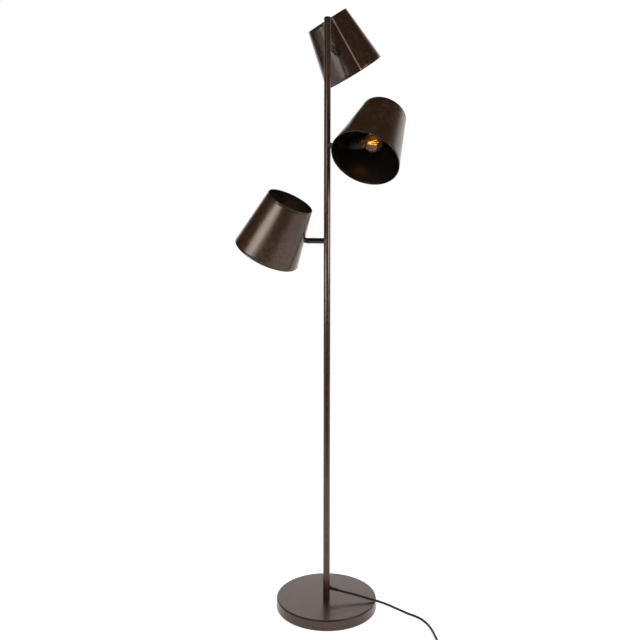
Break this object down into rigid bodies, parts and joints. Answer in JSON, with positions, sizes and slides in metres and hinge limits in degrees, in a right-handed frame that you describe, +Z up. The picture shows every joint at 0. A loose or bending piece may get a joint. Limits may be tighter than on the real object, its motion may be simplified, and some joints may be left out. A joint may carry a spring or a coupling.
{
  "type": "floor lamp",
  "caption": "Free-standing floor lamp: round weighted base, slim pole and tilting, swivelling cone shades on short arms, with a corded foot switch.",
  "frame": {"origin": "on the floor, under the centre of the round base", "axes": "+Z up along the pole; the front of the lamp faces -Y; +X is the viewer's right"},
  "size_m": [0.4977, 0.5668, 1.5608],
  "materials": {
    "bronze_finish": "satin dark bronze lacquer",
    "pad_foam": "matt",
    "cast_weight": "raw casting",
    "plain_steel": "zinc plated",
    "black_plastic": "satin",
    "cable_jacket": "satin jacket",
    "pale_plastic": "gloss",
    "brass_cap": "nickelled brass",
    "clear_glass": "clear, lightly tinted"
  },
  "bodies": {
    "root": {"base_pad": "pad_foam", "base_cover": "bronze_finish", "base_weight": "cast_weight", "base_washer": "plain_steel", "base_nut": "plain_steel", "pole_foot": "plain_steel", "pole_lower": "bronze_finish", "pole_coupler": "plain_steel", "pole_upper": "bronze_finish", "pole_cap": "bronze_finish", "cable_bush": "black_plastic", "inner_cable": "cable_jacket", "terminal_block": "pale_plastic", "arm_stubs": "bronze_finish", "cord_run": "cable_jacket", "cord_coil": "cable_jacket", "switch_base": "black_plastic", "switch_cover": "black_plastic", "switch_module": "pale_plastic", "switch_screws": "plain_steel", "plug_body": "black_plastic", "plug_pins": "plain_steel"},
    "low_arm_body": {"low_arm": "bronze_finish", "low_arm_screw": "plain_steel", "low_hinge_screw": "plain_steel", "low_hinge_nut": "plain_steel"},
    "low_head_body": {"low_knuckle": "bronze_finish", "low_shade": "bronze_finish", "low_shade_ring": "plain_steel", "low_holder": "black_plastic", "low_holder_core": "pale_plastic", "low_bulb_cap": "brass_cap", "low_bulb_glass": "clear_glass", "low_filament": "brass_cap"},
    "mid_arm_body": {"mid_arm": "bronze_finish", "mid_arm_screw": "plain_steel", "mid_hinge_screw": "plain_steel", "mid_hinge_nut": "plain_steel"},
    "mid_head_body": {"mid_knuckle": "bronze_finish", "mid_shade": "bronze_finish", "mid_shade_ring": "plain_steel", "mid_holder": "black_plastic", "mid_holder_core": "pale_plastic", "mid_bulb_cap": "brass_cap", "mid_bulb_glass": "clear_glass", "mid_filament": "brass_cap"},
    "top_arm_body": {"top_arm": "bronze_finish", "top_arm_screw": "plain_steel", "top_hinge_screw": "plain_steel", "top_hinge_nut": "plain_steel"},
    "top_head_body": {"top_knuckle": "bronze_finish", "top_shade": "bronze_finish", "top_shade_ring": "plain_steel", "top_holder": "black_plastic", "top_holder_core": "pale_plastic", "top_bulb_cap": "brass_cap", "top_bulb_glass": "clear_glass", "top_filament": "brass_cap"},
    "button_body": {"switch_button": "black_plastic"}
  },
  "joints": [
    {"name": "low_swivel", "type": "hinge", "parent": "root", "child": "low_arm_body", "pos_m": [0, -0.016, 0.9255], "axis": [-0.9986, -0.0523, 0], "range_deg": [-155, 155]},
    {"name": "low_tilt", "type": "hinge", "parent": "low_arm_body", "child": "low_head_body", "pos_m": [-0.04893, -0.01856, 0.9255], "axis": [-0.0329, 0.6285, 0.7771], "range_deg": [-52, 16]},
    {"name": "mid_swivel", "type": "hinge", "parent": "root", "child": "mid_arm_body", "pos_m": [0, -0.016, 1.165], "axis": [0.9863, -0.165, 0], "range_deg": [-155, 155]},
    {"name": "mid_tilt", "type": "hinge", "parent": "mid_arm_body", "child": "mid_head_body", "pos_m": [0.04833, -0.02409, 1.165], "axis": [-0.0427, -0.2553, 0.9659], "range_deg": [-1.5, 66.5]},
    {"name": "top_swivel", "type": "hinge", "parent": "root", "child": "top_arm_body", "pos_m": [0, -0.016, 1.421], "axis": [0.4848, 0.8746, 0], "range_deg": [-155, 155]},
    {"name": "top_tilt", "type": "hinge", "parent": "top_arm_body", "child": "top_head_body", "pos_m": [0.02376, 0.02686, 1.421], "axis": [0.7722, -0.4281, 0.4695], "range_deg": [-63, 5]},
    {"name": "button_press", "type": "slide", "parent": "root", "child": "button_body", "axis": [0, 0, -1], "range_m": [0, 0.003], "stiffness_N_per_m": 600, "springref_m": -0.001}
  ]
}
